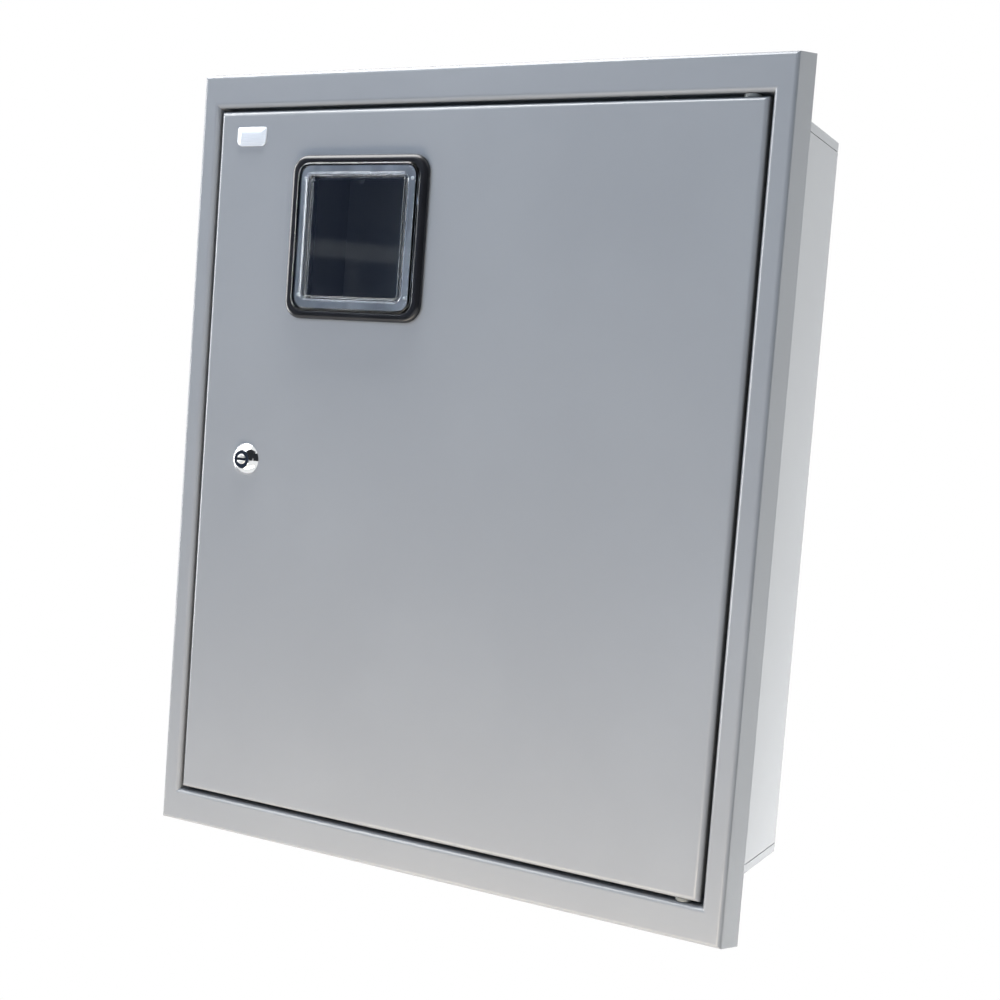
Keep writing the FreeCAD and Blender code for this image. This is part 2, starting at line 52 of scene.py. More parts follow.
class Wire:
    # one output socket; + - * / on it add Math nodes
    def __init__(self, finish, socket):
        self.finish = finish
        self.socket = socket

    def work(self, operation, first, second):
        return self.finish.node("ShaderNodeMath", {"operation": operation}, {0: first, 1: second})

    def __add__(self, other):
        return self.work("ADD", self, other)

    def __radd__(self, other):
        return self.work("ADD", other, self)

    def __sub__(self, other):
        return self.work("SUBTRACT", self, other)

    def __rsub__(self, other):
        return self.work("SUBTRACT", other, self)

    def __mul__(self, other):
        return self.work("MULTIPLY", self, other)

    def __rmul__(self, other):
        return self.work("MULTIPLY", other, self)

    def __truediv__(self, other):
        return self.work("DIVIDE", self, other)

    def __rtruediv__(self, other):
        return self.work("DIVIDE", other, self)

    def between(self, low, high):
        # 0 below low, 1 above high, smooth in the middle
        settings = {"interpolation_type": "SMOOTHSTEP"}
        inputs = {"Value": self, "From Min": low, "From Max": high}
        return self.finish.node("ShaderNodeMapRange", settings, inputs)


class Finish:
    def __init__(self, name):
        self.material = bpy.data.materials.new(name)
        self.material.use_nodes = True
        self.tree = self.material.node_tree
        self.tree.nodes.clear()
        self.place = self.node("ShaderNodeTexCoord", output="Object")

    def node(self, kind, settings=None, inputs=None, output=0):
        made = self.tree.nodes.new(kind)
        for key, value in (settings or {}).items():
            setattr(made, key, value)
        for key, value in (inputs or {}).items():
            if isinstance(value, Wire):
                self.tree.links.new(value.socket, made.inputs[key])
            else:
                made.inputs[key].default_value = value
        return Wire(self, made.outputs[output]) if made.outputs else None

    def stretched(self, scale):
        inputs = {"Vector": self.place, "Scale": scale}
        return self.node("ShaderNodeMapping", {"vector_type": "POINT"}, inputs)

    def noise(self, scale, detail=2.0, roughness=0.5, along=None):
        inputs = {"Vector": along or self.place, "Scale": scale, "Detail": detail, "Roughness": roughness}
        return self.node("ShaderNodeTexNoise", {"noise_dimensions": "3D"}, inputs)

    def cells(self, scale):
        return self.node("ShaderNodeTexVoronoi", {"feature": "F1"}, {"Vector": self.place, "Scale": scale})

    def blend(self, factor, first, second):
        inputs = {0: factor, 6: first, 7: second}
        return self.node("ShaderNodeMix", {"data_type": "RGBA"}, inputs, output=2)

    def bump(self, height, strength, distance):
        inputs = {"Strength": strength, "Distance": distance, "Height": height}
        return self.node("ShaderNodeBump", None, inputs)

    def edges(self, radius):
        # 1 along sharp edges, 0 on flat faces
        rounded = self.node("ShaderNodeBevel", {"samples": 4}, {"Radius": radius})
        normal = self.node("ShaderNodeNewGeometry", output="Normal")
        pair = {0: rounded, 1: normal}
        same = self.node("ShaderNodeVectorMath", {"operation": "DOT_PRODUCT"}, pair, "Value")
        return (1.0 - same).between(0.02, 0.25)

    def crevice(self, reach, shallow, deep):
        # 1 down in narrow gaps, 0 in the open, from ambient occlusion; used to paint shade into gaps
        settings = {"samples": 6}
        open_share = self.node("ShaderNodeAmbientOcclusion", settings, {"Distance": reach}, "AO")
        return (1.0 - open_share).between(shallow, deep)

    def shade(self, **inputs):
        named = {key.replace("_", " "): value for key, value in inputs.items()}
        surface = self.node("ShaderNodeBsdfPrincipled", None, named)
        self.node("ShaderNodeOutputMaterial", None, {"Surface": surface})
        return self.material


def rgb(red, green, blue):
    return (red, green, blue, 1.0)


# finishes, one function each

enamel = {
    "tone": (0.365, 0.367, 0.370),
    "pale": (0.400, 0.402, 0.404),
    "bare": (0.50, 0.51, 0.515),
    "gapShade": (0.022, 0.023, 0.025),
    "gloss": 0.21,
    "peelScale": 950.0,
    "peelDepth": 0.00012,
}


def greyEnamel(name, lift=1.0):
    paint = Finish(name)
    clouds = paint.noise(9.0, 3.0)
    speckle = paint.noise(2600.0, 1.0)
    peel = paint.noise(enamel["peelScale"], 2.0, 0.45)
    tone = rgb(*[lift * value for value in enamel["tone"]])
    pale = rgb(*[lift * value for value in enamel["pale"]])
    mottle = (clouds.between(0.35, 0.7) * 0.35) + (speckle.between(0.55, 0.75) * 0.25)
    colour = paint.blend(mottle, tone, pale)
    worn = paint.edges(0.0006) * paint.noise(120.0, 3.0).between(0.45, 0.62)
    colour = paint.blend(worn * 0.35, colour, rgb(*enamel["bare"]))
    # painted shade: the enamel turns near black down in narrow gaps, so the gaps read dark
    colour = paint.blend(paint.crevice(0.010, 0.76, 0.93), colour, rgb(*enamel["gapShade"]))
    smooth = enamel["gloss"] + (clouds * 0.08) - (speckle * 0.03) - (worn * 0.08)
    relief = paint.bump(peel, 0.22, enamel["peelDepth"])
    return paint.shade(Base_Color=colour, Roughness=smooth, Normal=relief, Specular_IOR_Level=0.5)


def zincPlate():
    zinc = Finish("zincPlate")
    streaks = zinc.noise(1.0, 3.0, 0.6, zinc.stretched((26.0, 26.0, 900.0)))
    bloom = zinc.cells(90.0)
    clouds = zinc.noise(22.0, 4.0)
    colour = zinc.blend(clouds.between(0.35, 0.68), rgb(0.60, 0.61, 0.615), rgb(0.66, 0.655, 0.635))
    colour = zinc.blend(bloom.between(0.1, 0.6) * 0.2, colour, rgb(0.54, 0.55, 0.56))
    rough = 0.30 + (streaks * 0.16) + (clouds * 0.06)
    relief = zinc.bump(streaks, 0.12, 0.00008)
    return zinc.shade(Base_Color=colour, Metallic=1.0, Roughness=rough, Normal=relief)


def chromePlate():
    chrome = Finish("chromePlate")
    smudge = chrome.noise(260.0, 3.0)
    hairlines = chrome.noise(1.0, 2.0, 0.6, chrome.stretched((900.0, 900.0, 5200.0)))
    colour = chrome.blend(smudge.between(0.4, 0.7) * 0.4, rgb(0.82, 0.83, 0.84), rgb(0.72, 0.73, 0.745))
    rough = 0.05 + (smudge.between(0.45, 0.75) * 0.05) + (hairlines * 0.02)
    relief = chrome.bump(hairlines, 0.03, 0.00003)
    return chrome.shade(Base_Color=colour, Metallic=1.0, Roughness=rough, Normal=relief)


def satinPlate():
    satin = Finish("satinPlate")
    lines = satin.noise(1.0, 2.0, 0.6, satin.stretched((5200.0, 900.0, 900.0)))
    colour = satin.blend(lines.between(0.35, 0.65), rgb(0.80, 0.80, 0.79), rgb(0.68, 0.68, 0.67))
    rough = 0.34 + (lines * 0.12)
    relief = satin.bump(lines, 0.08, 0.00005)
    return satin.shade(Base_Color=colour, Metallic=1.0, Roughness=rough, Normal=relief)


def moulded(name, colour, shine, grain):
    plastic = Finish(name)
    flow = plastic.noise(55.0, 3.0)
    fine = plastic.noise(grain, 2.0)
    lighter = rgb(*[min(1.0, 1.35 * value + 0.004) for value in colour])
    tint = plastic.blend(flow.between(0.35, 0.7) * 0.5, rgb(*colour), lighter)
    rough = shine + (flow * 0.08) + (fine * 0.05)
    return plastic.shade(Base_Color=tint, Roughness=rough, Normal=plastic.bump(fine, 0.10, 0.00006))


def clearCover():
    clear = Finish("clearCover")
    haze = clear.noise(140.0, 3.0)
    rough = 0.015 + (haze.between(0.5, 0.8) * 0.05)
    tint = clear.blend(haze * 0.3, rgb(0.80, 0.84, 0.88), rgb(0.72, 0.77, 0.82))
    ripple = clear.bump(clear.noise(70.0, 1.0), 0.05, 0.0003)
    return clear.shade(Base_Color=tint, Roughness=rough, IOR=1.52, Transmission_Weight=1.0, Normal=ripple)


def frostedMoulding():
    frost = Finish("frostedMoulding")
    flow = frost.noise(60.0, 3.0, 0.55, frost.stretched((1.0, 1.0, 0.35)))
    sparkle = frost.noise(1400.0, 1.0)
    tint = frost.blend(flow.between(0.35, 0.68), rgb(0.135, 0.145, 0.16), rgb(0.24, 0.25, 0.27))
    rough = 0.34 + (sparkle * 0.16)
    return frost.shade(Base_Color=tint, Roughness=rough, Normal=frost.bump(sparkle, 0.3, 0.0001))


def cellFoam():
    foam = Finish("cellFoam")
    pores = foam.cells(1500.0)
    colour = foam.blend(pores.between(0.1, 0.6), rgb(0.012, 0.012, 0.013), rgb(0.045, 0.045, 0.047))
    rough = 0.82 + (pores * 0.1)
    return foam.shade(Base_Color=colour, Roughness=rough, Normal=foam.bump(pores, 0.5, 0.0003))


def domedPlate():
    plate = Finish("domedPlate")
    grain = plate.noise(1.0, 2.0, 0.6, plate.stretched((60.0, 60.0, 4200.0)))
    colour = plate.blend(grain.between(0.35, 0.65), rgb(0.84, 0.85, 0.86), rgb(0.93, 0.935, 0.94))
    rough = 0.22 + (grain * 0.14)
    relief = plate.bump(grain, 0.05, 0.00004)
    gloss = {"Coat_Weight": 1.0, "Coat_Roughness": 0.03}
    return plate.shade(Base_Color=colour, Roughness=rough, Normal=relief, **gloss)


def drawnBrass():
    brass = Finish("drawnBrass")
    lines = brass.noise(1.0, 3.0, 0.6, brass.stretched((18.0, 1500.0, 1500.0)))
    clouds = brass.noise(45.0, 4.0)
    colour = brass.blend(clouds.between(0.35, 0.7), rgb(0.74, 0.53, 0.21), rgb(0.60, 0.42, 0.17))
    rough = 0.24 + (lines * 0.14) + (clouds * 0.06)
    relief = brass.bump(lines, 0.1, 0.00006)
    return brass.shade(Base_Color=colour, Metallic=1.0, Roughness=rough, Normal=relief)


greyFrame = greyEnamel("greyEnamel")
# painted light: the casing gets the frame's grey enamel made 6% lighter, so its side reads brighter
litCasingEnamel = greyEnamel("greyEnamelLitCasing", 1.06)
zinc = zincPlate()
chrome = chromePlate()
satin = satinPlate()
blackGloss = moulded("blackGloss", (0.010, 0.010, 0.012), 0.16, 700.0)
blackMatt = moulded("blackMatt", (0.022, 0.022, 0.023), 0.42, 1100.0)
nylon = moulded("nylonNatural", (0.22, 0.22, 0.20), 0.40, 900.0)
blueNylon = moulded("nylonBlue", (0.02, 0.11, 0.40), 0.36, 900.0)
greenNylon = moulded("nylonGreen", (0.03, 0.25, 0.07), 0.36, 900.0)
clear = clearCover()
frosted = frostedMoulding()
foam = cellFoam()
silver = domedPlate()
brass = drawnBrass()
print("finishes made:", len(bpy.data.materials))


# carried-over CAD pieces: a finish each, edges eased by a fine bevel

nodeFinish = {
    "trim_frame": greyFrame, "door_panel": greyFrame, "cover_panel": greyFrame,
    "casing_shell": litCasingEnamel, "casing_top": litCasingEnamel, "casing_bottom": litCasingEnamel,
    "hinge_bracket_top": greyFrame, "hinge_bracket_bottom": greyFrame,
    "upright_left": zinc, "upright_right": zinc, "meter_plate": zinc,
    "module_rail": zinc, "switch_rail": zinc, "cover_posts": zinc,
    "earth_stud": zinc, "earth_stud_nut": zinc, "lock_nut": zinc, "lock_cam": zinc, "cam_screw": zinc,
    "lock_housing": chrome, "lock_plug": chrome,
    "neutral_bar": brass, "earth_bar": brass,
    "neutral_bar_feet": blueNylon, "earth_bar_feet": greenNylon,
    "cover_knobs": blackMatt, "window_gasket": foam,
    "window_bezel": blackGloss, "window_retainer": blackGloss, "window_pane": clear,
    "badge_plate": silver, "hinge_washer_top": nylon, "hinge_washer_bottom": nylon,
}
easing = {"weld": 0.00001, "width": 0.25 * mm, "segments": 2, "sharp": math.radians(32)}


def easeEdges(piece, width):
    weld = piece.modifiers.new("weld", "WELD")
    weld.merge_threshold = easing["weld"]
    bevel = piece.modifiers.new("bevel", "BEVEL")
    bevel.width = width
    bevel.segments = easing["segments"]
    bevel.limit_method = "ANGLE"
    bevel.angle_limit = easing["sharp"]
    bevel.loop_slide = False
    split = piece.modifiers.new("split", "EDGE_SPLIT")
    split.split_angle = easing["sharp"]
    flat = piece.modifiers.new("flat", "WEIGHTED_NORMAL")
    flat.weight = 100
    flat.keep_sharp = True
    piece.data.polygons.foreach_set("use_smooth", [True] * len(piece.data.polygons))


for name, finish in nodeFinish.items():
    node = nodes[name]
    node.data.materials.clear()
    node.data.materials.append(finish)
    easeEdges(node, easing["width"])
print("CAD pieces finished:", len(nodeFinish))


# helpers for new pieces

def finishPiece(name, mesh, material, body, angle=35.0):
    bmesh.ops.remove_doubles(mesh, verts=mesh.verts, dist=1e-7)
    bmesh.ops.recalc_face_normals(mesh, faces=mesh.faces)
    data = bpy.data.meshes.new(name)
    mesh.to_mesh(data)
    mesh.free()
    data.polygons.foreach_set("use_smooth", [True] * len(data.polygons))
    data.set_sharp_from_angle(angle=math.radians(angle))
    piece = bpy.data.objects.new(name, data)
    scene.collection.objects.link(piece)
    data.materials.append(material)
    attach(piece, body)
    return piece


def ringOf(mesh, width, height, corners, y, centre, segments=10):
    # a rounded rectangle of edges, seen from the front; corners are the upper and lower radius
    old = set(mesh.verts)
    made = bmesh.ops.create_grid(mesh, x_segments=1, y_segments=1, size=0.5)["verts"]
    turn = Matrix.Rotation(math.radians(90), 4, "X") @ Matrix.Diagonal((width, height, 1.0, 1.0))
    bmesh.ops.transform(mesh, matrix=Matrix.Translation((centre[0], y, centre[1])) @ turn, verts=made)
    upper = [vert for vert in made if vert.co.z > centre[1]]
    lower = [vert for vert in made if vert.co.z < centre[1]]
    for pair, radius in ((upper, corners[0]), (lower, corners[1])):
        bmesh.ops.bevel(mesh, geom=pair, offset=radius, offset_type="OFFSET", segments=segments, profile=0.5,
                        affect="VERTICES", material=-1)
    verts = [vert for vert in mesh.verts if vert not in old]
    faces = [face for face in mesh.faces if face.verts[0] in set(verts)]
    edges = list(faces[0].edges)
    bmesh.ops.delete(mesh, geom=faces, context="FACES_ONLY")
    return edges


def loft(rings, centre, closed, capped=()):
    # bridges rounded rectangles (width, height, corner or upper and lower corner, y)
    # they are bridged while spread apart, because rings in one plane can pair wrongly
    mesh = bmesh.new()
    loops = []
    for index, (width, height, corner, _) in enumerate(rings):
        corners = corner if isinstance(corner, tuple) else (corner, corner)
        loops.append(ringOf(mesh, width, height, corners, 0.05 * index, centre))
    pairs = list(zip(loops, loops[1:]))
    if closed:
        pairs.append((loops[-1], loops[0]))
    for first, second in pairs:
        bmesh.ops.bridge_loops(mesh, edges=first + second)
    for loop, ring in zip(loops, rings):
        for vert in {vert for edge in loop for vert in edge.verts}:
            vert.co.y = ring[3]
    for index in capped:
        bmesh.ops.edgeloop_fill(mesh, edges=loops[index])
    bmesh.ops.recalc_face_normals(mesh, faces=mesh.faces)
    mesh.normal_update()
    return mesh, loops


def roundOver(mesh, edges, radius, segments):
    live = [edge for edge in edges if edge.is_valid]
    bmesh.ops.bevel(mesh, geom=live, offset=radius, offset_type="OFFSET", segments=segments, profile=0.5,
                    affect="EDGES", material=-1, clamp_overlap=True)


def spun(points, centre, steps=64):
    # a ring turned about a line along Y through centre; points are (radius, y)
    mesh = bmesh.new()
    verts = [mesh.verts.new((centre[0] + radius, y, centre[1])) for radius, y in points]
    edges = [mesh.edges.new(pair) for pair in zip(verts, verts[1:])]
    bmesh.ops.spin(mesh, geom=verts + edges, cent=(centre[0], 0, centre[1]), axis=(0, 1, 0), dvec=(0, 0, 0),
                   angle=math.radians(360), steps=steps, use_merge=True, use_duplicate=False)
    bmesh.ops.remove_doubles(mesh, verts=mesh.verts, dist=1e-7)
    return mesh


def merged(meshes):
    whole = bmesh.new()
    for mesh in meshes:
        data = bpy.data.meshes.new("part")
        mesh.to_mesh(data)
        mesh.free()
        whole.from_mesh(data)
        bpy.data.meshes.remove(data)
    return whole


def slab(width, height, yFront, yBack, centre, corner=0.0):
    mesh = bmesh.new()
    made = bmesh.ops.create_cube(mesh, size=1.0)["verts"]
    bmesh.ops.scale(mesh, vec=(width, yBack - yFront, height), verts=made)
    bmesh.ops.translate(mesh, vec=(centre[0], (yFront + yBack) / 2, centre[1]), verts=made)
    if corner:
        upright = [edge for edge in mesh.edges if abs(edge.verts[0].co.y - edge.verts[1].co.y) > 1e-6]
        roundOver(mesh, upright, corner, 4)
    return mesh


# meter window: black moulded frame, clear cover, ribs and frosted underside; its screws are made with the
# other screws below

bezelLow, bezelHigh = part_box("window_bezel")
paneLow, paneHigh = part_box("window_pane")
windowAt = ((paneLow.x + paneHigh.x) / 2, (paneLow.z + paneHigh.z) / 2)
window = {
    "frameWidth": bezelHigh.x - bezelLow.x,
    "frameHeight": bezelHigh.z - bezelLow.z,
    "frameCorner": 12 * mm,
    "frameFront": bezelLow.y,
    "frameBack": bezelLow.y + 3.5 * mm,
    "frameRound": 3.0 * mm,
    "pocketGap": 0.3 * mm,
    "wall": 1.5 * mm,
    "paneWidth": paneHigh.x - paneLow.x,
    "paneHeight": paneHigh.z - paneLow.z,
    "paneCorner": 9 * mm,
    "paneFront": paneLow.y,
    "paneBack": paneHigh.y,
    "paneRound": 1.3 * mm,
    "sightWidth": 75 * mm,
    "sightHeight": 79 * mm,
    "sightCorner": 2.5 * mm,
    "recess": 2 * mm,
    "skin": 2 * mm,
    "bossX": 42.5 * mm,
    "bossZ": 39 * mm,
    "ridges": ((0.25, 1.25, 0.0), (2.55, 3.35, 0.15)),
    "field": 0.6 * mm,
    "fieldStart": 2.35,
    "slope": 0.2 * mm,
    "rim": 1.5 * mm,
    "crestRound": 0.3 * mm,
    "bossRadius": 2.7 * mm,
    "shankBore": 1.55 * mm,
    "ribLength": 58 * mm,
    "ribDepth": 3.5 * mm,
    "clipOffset": 25 * mm,
    "clipDepth": 4.6 * mm,
    "ribDrop": 1.42 * mm,
    "frostDrop": 1.0 * mm,
    "frostGap": 0.15 * mm,
    "frostThickness": 0.4 * mm,
}


def makeWindowFrame(size):
    pocketWidth = size["paneWidth"] + 2 * size["pocketGap"]
    pocketHeight = size["paneHeight"] + 2 * size["pocketGap"]
    pocketCorner = size["paneCorner"] + size["pocketGap"]
    sleeveWidth = pocketWidth + 2 * size["wall"]
    sleeveHeight = pocketHeight + 2 * size["wall"]
    sleeveCorner = pocketCorner + size["wall"]
    sleeveBack = bezelHigh.y
    mesh, loops = loft([
        (size["frameWidth"], size["frameHeight"], size["frameCorner"], size["frameBack"]),
        (size["frameWidth"], size["frameHeight"], size["frameCorner"], size["frameFront"]),
        (pocketWidth, pocketHeight, pocketCorner, size["frameFront"]),
        (pocketWidth, pocketHeight, pocketCorner, size["paneBack"]),
        (size["sightWidth"], size["sightHeight"], size["sightCorner"], size["paneBack"]),
        (size["sightWidth"], size["sightHeight"], size["sightCorner"], sleeveBack),
        (sleeveWidth, sleeveHeight, sleeveCorner, sleeveBack),
        (sleeveWidth, sleeveHeight, sleeveCorner, size["frameBack"]),
    ], windowAt, closed=True)
    roundOver(mesh, loops[1], size["frameRound"], 6)
    roundOver(mesh, loops[2], 0.5 * mm, 3)
    roundOver(mesh, loops[0], 0.3 * mm, 2)
    return mesh


windowFrame = finishPiece("windowFrame", makeWindowFrame(window), blackGloss, "door")
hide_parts("window_bezel")


def makeWindowCover(size):
    innerWidth = size["paneWidth"] - 2 * size["skin"]
    innerHeight = size["paneHeight"] - 2 * size["skin"]
    innerCorner = size["paneCorner"] - size["skin"]
    skinBack = size["paneFront"] + size["skin"]
    wellWidth = size["sightWidth"] + 2 * size["skin"]
    wellHeight = size["sightHeight"] + 2 * size["skin"]
    wellCorner = size["sightCorner"] + size["skin"]
    front = size["paneFront"]
    recessBack = front + size["recess"]
    floor = front + size["field"]
    slope = size["slope"]

    def around(out, y):
        return (size["sightWidth"] + 2 * out, size["sightHeight"] + 2 * out, size["sightCorner"] + out, y)

    # floor of the recess, two ridges round it, a sunk field, then the rim;
    # ridges and the field's start count millimetres out from the sight
    rings = [around(0.0, recessBack)]
    for start, end, depth in size["ridges"]:
        crest = front + depth * mm
        rings += [around(start * mm, crest), around(end * mm, crest), around(end * mm + slope, floor)]
        if end < size["fieldStart"]:
            rings.append(around(size["fieldStart"] * mm, floor))
    rimStart = (size["paneWidth"] - size["sightWidth"]) / 2 - size["rim"]
    rings += [around(rimStart - slope, floor), around(rimStart, front)]
    crests = [1, 2, 5, 6, len(rings) - 1]
    outer = len(rings)
    rings += [
        (size["paneWidth"], size["paneHeight"], size["paneCorner"], front),
        (size["paneWidth"], size["paneHeight"], size["paneCorner"], size["paneBack"]),
        (innerWidth, innerHeight, innerCorner, size["paneBack"]),
        (innerWidth, innerHeight, innerCorner, skinBack),
        (wellWidth, wellHeight, wellCorner, skinBack),
        (wellWidth, wellHeight, wellCorner, recessBack + size["skin"]),
    ]
    mesh, loops = loft(rings, windowAt, closed=False, capped=(0, -1))
    roundOver(mesh, loops[outer], size["paneRound"], 5)
    for index in crests:
        roundOver(mesh, loops[index], size["crestRound"], 3)
    return mesh


windowCover = finishPiece("windowCover", makeWindowCover(window), clear, "door")
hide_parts("window_pane")


def makeCoverRibs(size):
    # in the channel at each side: a rib, two clips on it and a boss at each end
    start = size["paneFront"] + size["skin"] + size["ribDrop"]
    back = size["paneBack"] - 0.1 * mm
    outer = size["bossRadius"]
    bore = size["shankBore"]
    channelX = (size["paneWidth"] / 2 - size["skin"] + size["sightWidth"] / 2 + size["skin"]) / 2
    parts = []
    for side in (-1, 1):
        x = windowAt[0] + side * channelX
        rib = (x, windowAt[1])
        parts.append(slab(1.0 * mm, size["ribLength"], start, start + size["ribDepth"], rib, 0.3 * mm))
        for z in (-size["clipOffset"], size["clipOffset"]):
            clip = (x, windowAt[1] + z)
            parts.append(slab(4.6 * mm, 6 * mm, start, start + size["clipDepth"], clip, 0.6 * mm))
        for z in (-size["bossZ"], size["bossZ"]):
            boss = (windowAt[0] + side * size["bossX"], windowAt[1] + z)
            parts.append(spun([(bore, back), (outer, back), (outer, start), (1.0 * mm, start),
                               (0.0, start + 1.6 * mm), (1.0 * mm, start + 2.2 * mm),
                               (bore, start + 2.6 * mm), (bore, back)], boss, 32))
    return merged(parts)


finishPiece("coverRibs", makeCoverRibs(window), clear, "door")


def makeCoverFrost(size):
    # textured underside of the moulding, all round between the well and the outer wall
    front = size["paneFront"] + size["skin"] + size["frostDrop"]
    back = front + size["frostThickness"]
    skin = size["skin"]
    off = 2 * skin + size["frostGap"]
    outer = (size["paneWidth"] - off, size["paneHeight"] - off, size["paneCorner"] - skin)
    inner = (size["sightWidth"] + off, size["sightHeight"] + off, size["sightCorner"] + skin)
    rings = [outer + (front,), inner + (front,), inner + (back,), outer + (back,)]
    return loft(rings, windowAt, closed=True)[0]


finishPiece("coverFrost", makeCoverFrost(window), frosted, "door")
print("window made")


# cam lock: domed head, threaded barrel with flats, two lands on the plug

housingLow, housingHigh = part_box("lock_housing")
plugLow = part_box("lock_plug")[0]
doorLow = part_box("door_panel")[0]
lockAt = ((housingLow.x + housingHigh.x) / 2, (housingLow.z + housingHigh.z) / 2)
lock = {
    "headRadius": (housingHigh.x - housingLow.x) / 2,
    "crown": housingLow.y,
    "doorFront": doorLow.y,
    "bore": 6.3 * mm,
    "ball": 13 * mm,
    "barrelRadius": 9 * mm,
    "barrelFlat": 8 * mm,
    "barrelBack": housingHigh.y,
    "pitch": 1.0 * mm,
    "threadDepth": 0.45 * mm,
    "landRadius": 3.4 * mm,
    "landGap": 0.95 * mm,
    "landSunk": 0.1 * mm,
    "landHeight": 0.65 * mm,
    "landRound": 0.5 * mm,
}


def makeLockHead(size):
    inner = size["bore"] + 0.3 * mm
    dome = [(size["bore"], size["doorFront"]), (size["bore"], size["crown"] + 0.3 * mm)]
    start = math.asin(inner / size["ball"])
    end = math.asin(size["headRadius"] / size["ball"])
    for step in range(13):
        angle = start + (end - start) * step / 12
        drop = size["ball"] * (math.cos(start) - math.cos(angle))
        dome.append((size["ball"] * math.sin(angle), size["crown"] + drop))
    dome += [(size["headRadius"], size["doorFront"]), (size["bore"], size["doorFront"])]
    return spun(dome, lockAt, 96)


def makeLockBarrel(size):
    outer = size["barrelRadius"]
    root = outer - size["threadDepth"]
    profile = [(size["bore"], size["doorFront"]), (root, size["doorFront"])]
    y = size["doorFront"] + size["pitch"]
    while y < size["barrelBack"] - size["pitch"]:
        profile += [(root, y), (outer, y + 0.35 * size["pitch"]), (outer, y + 0.5 * size["pitch"])]
        y += size["pitch"]
    back = size["barrelBack"]
    profile += [(root, y), (root, back - 0.3 * mm), (root - 0.3 * mm, back), (size["bore"], back)]
    profile.append(profile[0])
    mesh = spun(profile, lockAt, 64)
    bmesh.ops.recalc_face_normals(mesh, faces=mesh.faces)
    for side in (-1, 1):
        cut = bmesh.ops.bisect_plane(mesh, geom=mesh.verts[:] + mesh.edges[:] + mesh.faces[:], dist=1e-7,
                                     plane_co=(0, 0, lockAt[1] + side * size["barrelFlat"]),
                                     plane_no=(0, 0, side), clear_outer=True)["geom_cut"]
        rim = [item for item in cut if isinstance(item, bmesh.types.BMEdge)]
        bmesh.ops.holes_fill(mesh, edges=rim, sides=0)
    return mesh


lockParts = merged([makeLockHead(lock), makeLockBarrel(lock)])
lockHead = finishPiece("lockHead", lockParts, chrome, "door", 30.0)
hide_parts("lock_housing")


def makePlugLands(size):
    # the halves of a low disc, one above and one below the key slot
    parts = []
    for side in (-1, 1):
        mesh = bmesh.new()
        bmesh.ops.create_circle(mesh, cap_ends=True, radius=size["landRadius"], segments=48)
        bmesh.ops.rotate(mesh, verts=mesh.verts, matrix=Matrix.Rotation(math.radians(90), 3, "X"))
        place = (lockAt[0], plugLow.y + size["landSunk"], lockAt[1])
        bmesh.ops.translate(mesh, verts=mesh.verts, vec=place)
        bmesh.ops.bisect_plane(mesh, geom=mesh.verts[:] + mesh.edges[:] + mesh.faces[:], dist=1e-7,
                               plane_co=(0, 0, lockAt[1] + side * size["landGap"]),
                               plane_no=(0, 0, -side), clear_outer=True)
        grown = bmesh.ops.extrude_face_region(mesh, geom=mesh.faces[:])["geom"]
        tops = [item for item in grown if isinstance(item, bmesh.types.BMVert)]
        bmesh.ops.translate(mesh, verts=tops, vec=(0, -size["landHeight"], 0))
        top = [edge for edge in mesh.edges if all(vert in tops for vert in edge.verts)]
        roundOver(mesh, top, size["landRound"], 5)
        parts.append(mesh)
    return merged(parts)


finishPiece("plugLands", makePlugLands(lock), satin, "lock", 40.0)
print("lock made")


# name plate: domed and left blank

badgeLow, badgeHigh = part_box("badge_plate")
badge = {
    "width": badgeHigh.x - badgeLow.x,
    "height": badgeHigh.z - badgeLow.z,
    "upper": 1.6 * mm,
    "lower": 4 * mm,
    "back": badgeHigh.y,
    "thickness": badgeHigh.y - badgeLow.y,
    "rim": 0.9 * mm,
    "step": 0.1 * mm,
    "flat": 1.2 * mm,
    "rings": 7,
}


def makeNamePlate(size):
    # a flat rim, then a step down to a face that swells towards the middle
    def ring(inset, rise):
        corners = (max(size["upper"] - inset, 0.3 * mm), max(size["lower"] - inset, 0.3 * mm))
        y = size["back"] - rise * size["thickness"]
        return (size["width"] - 2 * inset, size["height"] - 2 * inset, corners, y)

    start = size["rim"] + size["step"]
    rings = [ring(0, 0), ring(0, 0.35), ring(0.15 * mm, 0.5), ring(size["rim"], 0.5), ring(start, 0.38)]
    reach = size["height"] / 2 - size["rim"] - size["flat"]
    for step in range(size["rings"]):
        share = (step + 1) / size["rings"]
        rings.append(ring(start + reach * share, 0.42 + 0.58 * (1 - (1 - share) ** 2)))
    middle = ((badgeLow.x + badgeHigh.x) / 2, (badgeLow.z + badgeHigh.z) / 2)
    return loft(rings, middle, closed=False, capped=(0, -1))[0]


namePlate = finishPiece("namePlate", makeNamePlate(badge), silver, "door", 60.0)
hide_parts("badge_plate")


# small screws cut with a cross recess; the bar screws get a slot instead

def cutBy(base, cutters):
    # the first mesh less the others, by exact boolean
    holder = []
    for index, mesh in enumerate([base] + cutters):
        bmesh.ops.recalc_face_normals(mesh, faces=mesh.faces)
        data = bpy.data.meshes.new("cut%d" % index)
        mesh.to_mesh(data)
        mesh.free()
        item = bpy.data.objects.new("cut%d" % index, data)
        scene.collection.objects.link(item)
        holder.append(item)
    for item in holder[1:]:
        tool = holder[0].modifiers.new(item.name, "BOOLEAN")
        tool.operation = "DIFFERENCE"
        tool.solver = "EXACT"
        tool.object = item
    bpy.context.view_layer.update()
    view = bpy.context.evaluated_depsgraph_get()
    result = bmesh.new()
    result.from_mesh(holder[0].evaluated_get(view).to_mesh())
    holder[0].evaluated_get(view).to_mesh_clear()
    for item in holder:
        data = item.data
        bpy.data.objects.remove(item)
        bpy.data.meshes.remove(data)
    return result


